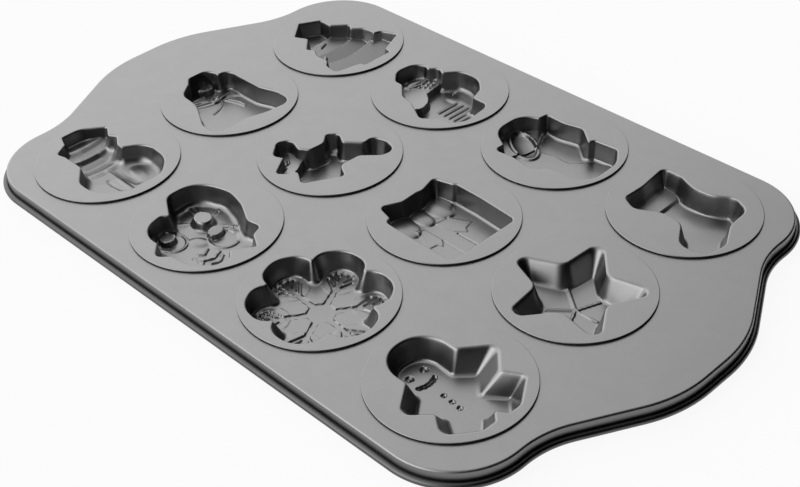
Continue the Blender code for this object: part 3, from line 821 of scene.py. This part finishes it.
def held_in(ring, centre, radius):
    """Draws the points beyond a radius in to it."""
    away = ring - centre
    shares = np.minimum(1, radius / np.hypot(away[:, 0], away[:, 1]))
    return centre + away * shares[:, None]


def cup_profile():
    """(radius, height) from the flat lip round its edge, down the neck and under the bead."""
    under = LIP_TOP - LIP_THICKNESS
    bead_top = DECK_BOTTOM - CLEARANCE
    profile = [(LIP_RADIUS - LIP_ROUND - FLAT_MARGIN, LIP_TOP)]
    profile += bend(LIP_RADIUS - LIP_ROUND, LIP_TOP - LIP_ROUND, LIP_ROUND, 90, 0, LIP_STEPS)
    profile += bend(LIP_RADIUS - LIP_ROUND, under + LIP_ROUND, LIP_ROUND, 0, -90,
                    LIP_UNDER_STEPS)
    profile += [(NECK_RADIUS, under), (NECK_RADIUS, bead_top)]
    profile += bend(NECK_RADIUS, bead_top - BEAD / 2, BEAD / 2, 90, -90, BEAD_STEPS)[1:]
    profile += [(MOTIF_RADIUS, bead_top - BEAD), (MOTIF_RADIUS, LIP_TOP - CUP_WALL)]
    return profile


def centre_of(node):
    low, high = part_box(node)
    return (low.x + high.x) / 2, (low.y + high.y) / 2


def place(sheet, name, node):
    """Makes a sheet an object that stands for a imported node."""
    piece = bpy.data.objects.new(name, sheet.build(name))
    bpy.context.scene.collection.objects.link(piece)
    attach(piece, "root")
    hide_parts(node)
    return piece


def make_cup(name, settings):
    node = "cup_" + name
    centre = centre_of(node)
    sheet = Sheet()
    cavity_top = cavity(sheet, name, centre, settings)
    rows = [sheet.add(circle(radius, centre), height) for radius, height in cup_profile()]
    sheet.loft(rows)
    sheet.fill([rows[0], cavity_top])
    shell_top = shell(sheet, name, centre, settings)
    sheet.fill([rows[-1], shell_top])
    return place(sheet, name + "_cup_formed", node)


# Tray

def tray_outline(settings):
    """The foot of the rim's wall all round, seen from above."""
    half_width = TRAY_SIDE - HEM_BORE
    end = TRAY_END - HEM_BORE - GRIP_REACH
    quarter = [(end + CORNER_MARGIN, half_width, CORNER_RADIUS),
               (end + WAIST_MARGIN, half_width * WAIST_SHARE, WAIST_RADIUS),
               (end + GRIP_REACH, half_width * GRIP_SHARE, GRIP_RADIUS)]
    right = quarter + [(x, -y, radius) for x, y, radius in quarter[::-1]]
    corners = right + [(-x, -y, radius) for x, y, radius in right]
    return Outline(corners, settings.arc_turn, settings.straight_step)


def rim_profile():
    """(outward, height) of the sheet's section at the rim, from the deck's top down the
    wall, round the wire and back to the deck's underside."""
    out, up = polar(HEM_BORE + SHEET / 2, math.radians(HEM_END))
    tip = bend(HEM_BORE + out, WIRE_HEIGHT + up, SHEET / 2, HEM_END + 180, HEM_END, HEM_TIP_STEPS)
    profile = [(-SHOULDER - FLAT_MARGIN, DECK_TOP)]
    profile += bend(-SHOULDER, DECK_TOP - SHOULDER, SHOULDER, 90, 0, SHOULDER_STEPS)
    profile += bend(HEM_BORE, WIRE_HEIGHT, HEM_BORE, 180, HEM_END, HEM_INNER_STEPS)
    profile += tip[1:-1]
    profile += bend(HEM_BORE, WIRE_HEIGHT, HEM_RADIUS, HEM_END, 180, HEM_OUTER_STEPS)
    profile += bend(-SHOULDER, DECK_TOP - SHOULDER, SHOULDER - SHEET, 0, 90,
                    SHOULDER_UNDER_STEPS)
    return profile


def hole_profile():
    """(radius, height) of a hole's edge, from the deck's top to its underside."""
    profile = [(HOLE_RADIUS + HOLE_ROUND + FLAT_MARGIN, DECK_TOP)]
    profile += bend(HOLE_RADIUS + HOLE_ROUND, DECK_TOP - HOLE_ROUND, HOLE_ROUND, 90, 180,
                    HOLE_STEPS)
    profile += [(HOLE_RADIUS, DECK_BOTTOM)]
    return profile


def make_tray(settings):
    sheet = Sheet()
    outline = tray_outline(settings)
    rim = [sheet.add(outline.ring(out), height) for out, height in rim_profile()]
    sheet.loft(rim)
    tops = []
    bottoms = []
    for node in CUP_NODES:
        centre = centre_of(node)
        edge = [sheet.add(circle(radius, centre), height) for radius, height in hole_profile()]
        sheet.loft(edge)
        tops.append(edge[0])
        bottoms.append(edge[-1])
    sheet.fill([rim[0]] + tops)
    sheet.fill([rim[-1]] + bottoms)
    return place(sheet, "tray_sheet", "tray")


# Materials

WHITE = (1, 1, 1, 1)
NODE_SPACING = 180

# The middle stretch of a noise's values, which fills the range from 0 to 1
NOISE_LOW = 0.3
NOISE_HIGH = 0.7

# How far the coat's and the wire's tone and roughness stray from their plain values
CLOUDY_SPREAD = 0.03
SPECK_SPREAD = 0.05
COAT_ROUGH_SPREAD = 0.02
WIRE_ROUGH_SPREAD = 0.06


class Nodes:
    """Adds nodes to a tree and joins them, one column after another."""

    def __init__(self, tree):
        self.tree = tree

    def feed(self, socket, value):
        """Sets an input socket, or links it where the value is another node's output."""
        if isinstance(value, bpy.types.NodeSocket):
            self.tree.links.new(value, socket)
        else:
            socket.default_value = value

    def join(self, node, inputs):
        """Feeds a node's inputs, given by name or number."""
        for name, value in inputs.items():
            self.feed(node.inputs[name], value)

    def add(self, kind, inputs=None, **settings):
        made = self.tree.nodes.new(kind)
        made.location = (len(self.tree.nodes) * NODE_SPACING, 0)
        for name, value in settings.items():
            setattr(made, name, value)
        self.join(made, inputs or {})
        return made

    def maths(self, operation, first, second=0.0, third=0.0):
        made = self.add("ShaderNodeMath", {0: first, 1: second, 2: third}, operation=operation)
        return made.outputs[0]

    def ramp(self, value, low, high, low_out=0.0, high_out=1.0, kind="SMOOTHSTEP"):
        made = self.add("ShaderNodeMapRange", {
            "Value": value, "From Min": low, "From Max": high, "To Min": low_out,
            "To Max": high_out}, interpolation_type=kind)
        return made.outputs["Result"]

    def stray(self, value, middle, spread, low=0.0, high=1.0):
        """A number that runs evenly from below a middle to above it."""
        return self.ramp(value, low, high, middle - spread, middle + spread, "LINEAR")

    def mix(self, share, first, second):
        made = self.add("ShaderNodeMix", data_type="RGBA")
        colours = [socket for socket in made.inputs if socket.type == "RGBA"]
        factors = [socket for socket in made.inputs if socket.type == "VALUE"]
        for socket, value in ((factors[0], share), (colours[0], first), (colours[1], second)):
            self.feed(socket, value)
        return [socket for socket in made.outputs if socket.type == "RGBA"][0]


def new_group(name, inputs, outputs):
    """An empty node group with number sockets; returns it, its nodes and its inputs."""
    tree = bpy.data.node_groups.new(name, "ShaderNodeTree")
    for label, value in inputs.items():
        socket = tree.interface.new_socket(label, in_out="INPUT", socket_type="NodeSocketFloat")
        socket.default_value = value
    for label in outputs:
        tree.interface.new_socket(label, in_out="OUTPUT", socket_type="NodeSocketFloat")
    nodes = Nodes(tree)
    entry = nodes.add("NodeGroupInput")
    return tree, nodes, entry.outputs


def grain_group():
    """Fine satin grain of a sprayed coat: a height for bump and a tone from 0 to 1."""
    tree, nodes, given = new_group("Satin grain", {"Grains per mm": 2.5, "Blotch mm": 14.0},
                                   ("Height", "Tone", "Blotch"))
    place_node = nodes.add("ShaderNodeTexCoord")
    per_metre = nodes.maths("MULTIPLY", given["Grains per mm"], 1 / MILLIMETRE)
    grain = nodes.add("ShaderNodeTexNoise", {
        "Vector": place_node.outputs["Object"], "Scale": per_metre, "Detail": 3.0,
        "Roughness": 0.65})
    blotch_scale = nodes.maths("DIVIDE", 1 / MILLIMETRE, given["Blotch mm"])
    blotch = nodes.add("ShaderNodeTexNoise", {
        "Vector": place_node.outputs["Object"], "Scale": blotch_scale, "Detail": 4.0,
        "Roughness": 0.55})
    coarse = nodes.ramp(blotch.outputs["Fac"], NOISE_LOW, NOISE_HIGH)
    nodes.add("NodeGroupOutput", {"Height": grain.outputs["Fac"], "Tone": grain.outputs["Fac"],
                                  "Blotch": coarse})
    return tree


def steepness_group():
    """1 on upright faces and 0 on level ones, where painted shade darkens the upright faces."""
    tree, nodes, given = new_group("Steepness", {"From": 0.35, "To": 0.95}, ("Mask",))
    geometry = nodes.add("ShaderNodeNewGeometry")
    parts = nodes.add("ShaderNodeSeparateXYZ", {"Vector": geometry.outputs["Normal"]})
    level = nodes.maths("ABSOLUTE", parts.outputs["Z"])
    mask = nodes.ramp(level, given["From"], given["To"], 1.0, 0.0)
    nodes.add("NodeGroupOutput", {"Mask": mask})
    return tree


def low_shade_group():
    """1 below a height and 0 above it, for the painted shade that darkens the rim's low faces."""
    tree, nodes, given = new_group("Low faces", {"Full": 0.006, "None": 0.011}, ("Mask",))
    place_node = nodes.add("ShaderNodeTexCoord")
    parts = nodes.add("ShaderNodeSeparateXYZ", {"Vector": place_node.outputs["Object"]})
    mask = nodes.ramp(parts.outputs["Z"], given["Full"], given["None"], 1.0, 0.0)
    nodes.add("NodeGroupOutput", {"Mask": mask})
    return tree


def new_material(name, roughness, metallic):
    made = bpy.data.materials.new(name)
    made.use_nodes = True
    nodes = Nodes(made.node_tree)
    shader = made.node_tree.nodes["Principled BSDF"]
    nodes.join(shader, {"Roughness": roughness, "Metallic": metallic})
    return made, nodes, shader


def group_node(nodes, tree, **values):
    made = nodes.add("ShaderNodeGroup", node_tree=tree)
    for label, value in values.items():
        made.inputs[label.replace("_", " ")].default_value = value
    return made.outputs


def grain_bump(nodes, grain, settings):
    """The normal of a surface that has the grain's height."""
    made = nodes.add("ShaderNodeBump", {
        "Strength": settings.grain_strength, "Distance": settings.grain_height,
        "Height": grain["Height"]})
    return made.outputs["Normal"]


def coating(name, settings, groups, paint_low_shade):
    """The dark satin coat with painted shade: darker on upright faces than on level ones, and,
    where asked, darker still on the rim's low faces.
    """
    made, nodes, shader = new_material(name, settings.roughness, 1.0)
    grain = group_node(nodes, groups["grain"])
    steep = group_node(nodes, groups["steepness"])
    # Painted shade: upright faces get a darker colour than level ones, standing in for the shade
    # on the cavities' walls.
    tone = nodes.mix(steep["Mask"], (*settings.level_colour, 1), (*settings.steep_shade_colour, 1))
    # Painted shade: the faces low on the tray's rim get a near-black colour.
    if paint_low_shade:
        low = group_node(nodes, groups["height"])
        tone = nodes.mix(low["Mask"], tone, (*settings.rim_shade_colour, 1))
    cloudy = nodes.stray(grain["Blotch"], 1, CLOUDY_SPREAD)
    speck = nodes.stray(grain["Tone"], 1, SPECK_SPREAD, NOISE_LOW, NOISE_HIGH)
    shade = nodes.maths("MULTIPLY", cloudy, speck)
    shaded = nodes.add("ShaderNodeVectorMath", {0: tone, "Scale": shade}, operation="SCALE")
    rough = nodes.stray(grain["Blotch"], settings.roughness, COAT_ROUGH_SPREAD)
    nodes.join(shader, {"Base Color": shaded.outputs[0], "Roughness": rough,
                        "Normal": grain_bump(nodes, grain, settings)})
    return made


def drawn_steel(settings, groups):
    """Bright wire with fine drawing marks."""
    made, nodes, shader = new_material("drawn_steel", settings.roughness, 1.0)
    grain = group_node(nodes, groups["grain"], Grains_per_mm=6.0, Blotch_mm=9.0)
    tone = nodes.mix(grain["Blotch"], (*settings.colour, 1), (*settings.stain_colour, 1))
    rough = nodes.stray(grain["Tone"], settings.roughness, WIRE_ROUGH_SPREAD, NOISE_LOW,
                        NOISE_HIGH)
    nodes.join(shader, {"Base Color": tone, "Roughness": rough,
                        "Normal": grain_bump(nodes, grain, settings)})
    return made


def shared_groups():
    """The node groups, built once."""
    names = {"grain": ("Satin grain", grain_group), "steepness": ("Steepness", steepness_group),
             "height": ("Low faces", low_shade_group)}
    return {label: bpy.data.node_groups.get(name) or build()
            for label, (name, build) in names.items()}


# Stage

# The camera's place, taken from the middle of the lips' plane, and its three axes
CAMERA_PLACE = (0.4641, -0.4258, 0.4416)
CAMERA_RIGHT = (0.7041, 0.7091, -0.0387)
CAMERA_UP = (-0.4101, 0.4505, 0.7930)
CAMERA_BACK = (0.5798, -0.5425, 0.6080)
SENSOR_WIDTH_MM = 36
CLIP_START = 0.01
CLIP_END = 20
PAPER_ROUGHNESS = 0.9


def make_camera(settings):
    """The camera, placed from the plane of the lips."""
    data = bpy.data.cameras.new("camera")
    data.lens = settings.lens
    data.sensor_width = SENSOR_WIDTH_MM
    data.clip_start = CLIP_START
    data.clip_end = CLIP_END
    camera = bpy.data.objects.new("camera", data)
    bpy.context.scene.collection.objects.link(camera)
    turn = Matrix((CAMERA_RIGHT, CAMERA_UP, CAMERA_BACK)).transposed().to_4x4()
    spot = Vector(CAMERA_PLACE) + Vector((0, 0, LIP_TOP))
    camera.matrix_world = Matrix.Translation(spot) @ turn
    bpy.context.scene.camera = camera


def make_floor(settings):
    mesh = bpy.data.meshes.new("floor")
    form = bmesh.new()
    bmesh.ops.create_grid(form, x_segments=1, y_segments=1, size=settings.floor_size / 2)
    form.to_mesh(mesh)
    form.free()
    floor = bpy.data.objects.new("floor", mesh)
    bpy.context.scene.collection.objects.link(floor)
    floor.location = (0, 0, CAD_LOW.z - CLEARANCE)
    paper, nodes, shader = new_material("paper", PAPER_ROUGHNESS, 0.0)
    nodes.join(shader, {"Base Color": (*settings.floor_colour, 1)})
    path = nodes.add("ShaderNodeLightPath").outputs
    seen = nodes.maths("MAXIMUM", path["Is Camera Ray"], path["Is Glossy Ray"])
    seen = nodes.maths("MAXIMUM", seen, path["Is Transmission Ray"])
    share = nodes.maths("MULTIPLY", seen, settings.floor_white)
    white = nodes.add("ShaderNodeEmission", {"Color": WHITE, "Strength": 1.0})
    mixed = nodes.add("ShaderNodeMixShader", {
        0: share, 1: shader.outputs["BSDF"], 2: white.outputs["Emission"]})
    output = paper.node_tree.nodes["Material Output"]
    nodes.join(output, {"Surface": mixed.outputs["Shader"]})
    mesh.materials.append(paper)


def facing(nodes, way, azimuth, elevation=0.0):
    """How far each direction points towards a spot on the sky, from -1 to 1."""
    x, y = polar(math.cos(elevation), azimuth)
    spot = (x, y, math.sin(elevation))
    made = nodes.add("ShaderNodeVectorMath", {0: way, 1: spot}, operation="DOT_PRODUCT")
    return made.outputs["Value"]


def make_light(settings):
    """A soft surround with a dark side and a dim top, and one low soft box."""
    world = bpy.data.worlds.new("studio")
    bpy.context.scene.world = world
    world.use_nodes = True
    nodes = Nodes(world.node_tree)
    way = nodes.add("ShaderNodeTexCoord").outputs["Generated"]
    side = facing(nodes, way, settings.bright_side)
    lit = nodes.ramp(side, settings.dark_edge, settings.light_edge)
    slope = nodes.maths("MULTIPLY_ADD", side, settings.side_contrast, 1.0)
    level = nodes.maths("MULTIPLY", lit, slope)
    parts = nodes.add("ShaderNodeSeparateXYZ", {"Vector": way})
    above = nodes.maths("SUBTRACT", parts.outputs["Z"], settings.dim_from)
    rise = nodes.maths("DIVIDE", nodes.maths("MAXIMUM", above, 0.0), settings.dim_reach)
    dimmed = nodes.maths("SUBTRACT", 1.0, nodes.maths("MULTIPLY", rise, rise))
    level = nodes.maths("MULTIPLY", level, nodes.maths("MAXIMUM", dimmed, settings.dim_least))
    near_box = facing(nodes, way, settings.box_side, settings.box_height)
    box = nodes.ramp(near_box, math.cos(settings.box_width), math.cos(settings.box_width / 2))
    level = nodes.maths("MULTIPLY_ADD", box, settings.box_strength, level)
    path = nodes.add("ShaderNodeLightPath")
    seen = nodes.add("ShaderNodeMix", {0: path.outputs["Is Camera Ray"], 2: level, 3: 1.0},
                     data_type="FLOAT")
    background = world.node_tree.nodes["Background"]
    nodes.join(background, {"Color": WHITE, "Strength": seen.outputs[0]})


# Settings

class CupSettings(bpy.types.PropertyGroup):
    edge_radius: FloatProperty(
        name="Edge radius", description="Rounding of a cavity's top edge", default=0.0011,
        min=0.0002, max=0.002, unit="LENGTH")
    arc_turn: FloatProperty(
        name="Arc turn", description="Turn of each step round a corner", default=math.radians(9),
        min=math.radians(2), max=math.radians(30), unit="ROTATION")
    straight_step: FloatProperty(
        name="Straight step", description="Length of each step along an edge", default=0.0012,
        min=0.0004, max=0.01, unit="LENGTH")
    floor_step: FloatProperty(
        name="Floor step", description="Distance between the points of a floor",
        default=0.00052, min=0.0004, max=0.005, unit="LENGTH")


class TraySettings(bpy.types.PropertyGroup):
    arc_turn: FloatProperty(
        name="Arc turn", description="Turn of each step round the rim's corners",
        default=math.radians(3), min=math.radians(1), max=math.radians(30), unit="ROTATION")
    straight_step: FloatProperty(
        name="Straight step", description="Length of each step along the rim", default=0.004,
        min=0.001, max=0.05, unit="LENGTH")


class CoatingSettings(bpy.types.PropertyGroup):
    level_colour: FloatVectorProperty(
        name="Level colour", description="Colour of the coat on level faces",
        default=(0.335, 0.335, 0.335), min=0, max=1, subtype="COLOR")
    # Painted shade: a darker colour on upright faces, standing in for the shade on the cavities'
    # walls
    steep_shade_colour: FloatVectorProperty(
        name="Steep colour", description="Colour of the coat on upright faces",
        default=(0.18, 0.18, 0.18), min=0, max=1, subtype="COLOR")
    # Painted shade: a near-black colour low on the rim
    rim_shade_colour: FloatVectorProperty(
        name="Rim colour", description="Colour of the coat low on the rim",
        default=(0.10, 0.10, 0.10), min=0, max=1, subtype="COLOR")
    roughness: FloatProperty(
        name="Roughness", description="Roughness of the satin coat", default=0.33, min=0.05,
        max=1, subtype="FACTOR")
    grain_strength: FloatProperty(
        name="Grain strength", description="How strongly the grain shows", default=0.25, min=0,
        max=1, subtype="FACTOR")
    grain_height: FloatProperty(
        name="Grain height", description="Height of the grain", default=0.00001, min=0,
        max=0.0002, unit="LENGTH")


class WireSettings(bpy.types.PropertyGroup):
    colour: FloatVectorProperty(
        name="Colour", description="Colour of the bare wire", default=(0.56, 0.56, 0.57), min=0,
        max=1, subtype="COLOR")
    stain_colour: FloatVectorProperty(
        name="Stain colour", description="Colour where the wire has dulled",
        default=(0.42, 0.42, 0.42), min=0, max=1, subtype="COLOR")
    roughness: FloatProperty(
        name="Roughness", description="Roughness of the wire", default=0.3, min=0.05, max=1,
        subtype="FACTOR")
    grain_strength: FloatProperty(
        name="Mark strength", description="How strongly the drawing marks show", default=0.4,
        min=0, max=1, subtype="FACTOR")
    grain_height: FloatProperty(
        name="Mark height", description="Height of the drawing marks", default=0.00001, min=0,
        max=0.0002, unit="LENGTH")


class StageSettings(bpy.types.PropertyGroup):
    lens: FloatProperty(
        name="Lens", description="Focal length for a 36 mm wide image", default=65.339, min=20,
        max=200, unit="CAMERA")
    floor_size: FloatProperty(
        name="Floor size", description="Width of the floor", default=8, min=1, max=20,
        unit="LENGTH")
    floor_colour: FloatVectorProperty(
        name="Floor colour", description="Colour of the paper floor",
        default=(0.85, 0.85, 0.85), min=0, max=1, subtype="COLOR")
    floor_white: FloatProperty(
        name="Floor white", description="Share of plain white that the camera sees in the floor",
        default=0.92, min=0, max=1, subtype="FACTOR")
    bright_side: FloatProperty(
        name="Bright side", description="Direction that the soft light comes from",
        default=math.radians(-155), unit="ROTATION")
    side_contrast: FloatProperty(
        name="Side contrast", description="How much brighter the bright side is", default=0.7,
        min=0, max=5)
    dark_edge: FloatProperty(
        name="Dark edge", description="Where the dark side ends, 1 at the bright side's middle",
        default=-0.35, min=-1, max=1)
    light_edge: FloatProperty(
        name="Light edge", description="Where the light is full, 1 at the bright side's middle",
        default=0.12, min=-1, max=1)
    dim_from: FloatProperty(
        name="Dim from", description="Height on the sky where the light starts to fade",
        default=0.35, min=0, max=1)
    dim_reach: FloatProperty(
        name="Dim reach", description="Height further up where it has faded", default=1.1,
        min=0.1, max=2)
    dim_least: FloatProperty(
        name="Dim least", description="Light left at the top", default=0.5, min=0, max=1)
    box_side: FloatProperty(
        name="Box side", description="Direction of the soft box", default=math.radians(-100),
        unit="ROTATION")
    box_height: FloatProperty(
        name="Box height", description="Height of the soft box", default=math.radians(20),
        unit="ROTATION")
    box_width: FloatProperty(
        name="Box width", description="Half width of the soft box", default=math.radians(36),
        min=math.radians(2), max=math.radians(80), unit="ROTATION")
    box_strength: FloatProperty(
        name="Box strength", description="Brightness of the soft box", default=1.5, min=0,
        max=10)


class PanSettings(bpy.types.PropertyGroup):
    cups: PointerProperty(
        name="Cups", description="Fineness and edges of the cups", type=CupSettings)
    tray: PointerProperty(name="Tray", description="Fineness of the tray", type=TraySettings)
    coating: PointerProperty(
        name="Coating", description="Finish of the tray and the cups", type=CoatingSettings)
    wire: PointerProperty(
        name="Wire", description="Finish of the wire in the hem", type=WireSettings)
    stage: PointerProperty(
        name="Stage", description="Camera, floor and light", type=StageSettings)


# Operators

class PAN_OT_stage(bpy.types.Operator):
    """Add the camera, the pale floor and the soft light"""
    bl_idname = "pan.stage"
    bl_label = "Stage"

    def execute(self, context):
        settings = context.scene.pan.stage
        context.scene.view_settings.view_transform = "Standard"
        make_camera(settings)
        make_floor(settings)
        make_light(settings)
        return {"FINISHED"}


class PAN_OT_tray(bpy.types.Operator):
    """Form the tray's sheet with its holes and its hem"""
    bl_idname = "pan.tray"
    bl_label = "Tray"

    def execute(self, context):
        pan = context.scene.pan
        piece = make_tray(pan.tray)
        # The tray's coat also has painted shade on the rim's low faces.
        piece.data.materials.append(coating("tray_coating", pan.coating, shared_groups(), True))
        return {"FINISHED"}


class PAN_OT_wire(bpy.types.Operator):
    """Finish the wire that stiffens the hem"""
    bl_idname = "pan.wire"
    bl_label = "Rim wire"

    def execute(self, context):
        wire = bpy.data.objects["rim_wire"]
        finish = drawn_steel(context.scene.pan.wire, shared_groups())
        for slot in wire.material_slots:
            slot.material = finish
        return {"FINISHED"}


class PAN_OT_cups(bpy.types.Operator):
    """Form the twelve figure cups"""
    bl_idname = "pan.cups"
    bl_label = "Cups"

    def execute(self, context):
        pan = context.scene.pan
        finish = coating("cup_coating", pan.coating, shared_groups(), False)
        for name in FIGURES:
            piece = make_cup(name, pan.cups)
            piece.data.materials.append(finish)
        return {"FINISHED"}


class PAN_PT_sidebar(bpy.types.Panel):
    """Lists the steps and the settings of each"""
    bl_idname = "PAN_PT_sidebar"
    bl_label = "Cake pan"
    bl_space_type = "VIEW_3D"
    bl_region_type = "UI"
    bl_category = "Cake pan"

    def draw(self, context):
        pan = context.scene.pan
        steps = ((PAN_OT_stage, (pan.stage,)), (PAN_OT_tray, (pan.tray, pan.coating)),
                 (PAN_OT_wire, (pan.wire,)), (PAN_OT_cups, (pan.cups, pan.coating)))
        for operator, groups in steps:
            box = self.layout.box()
            box.operator(operator.bl_idname)
            for group in groups:
                for name in group.__annotations__:
                    box.prop(group, name)


CLASSES = (CupSettings, TraySettings, CoatingSettings, WireSettings, StageSettings, PanSettings,
           PAN_OT_stage, PAN_OT_tray, PAN_OT_wire, PAN_OT_cups, PAN_PT_sidebar)


def register():
    for item in CLASSES:
        bpy.utils.register_class(item)
    bpy.types.Scene.pan = PointerProperty(type=PanSettings)


def unregister():
    del bpy.types.Scene.pan
    for item in reversed(CLASSES):
        bpy.utils.unregister_class(item)


def main():
    register()
    for operator in (bpy.ops.pan.stage, bpy.ops.pan.tray, bpy.ops.pan.wire, bpy.ops.pan.cups):
        operator()


if __name__ == "__main__":
    main()
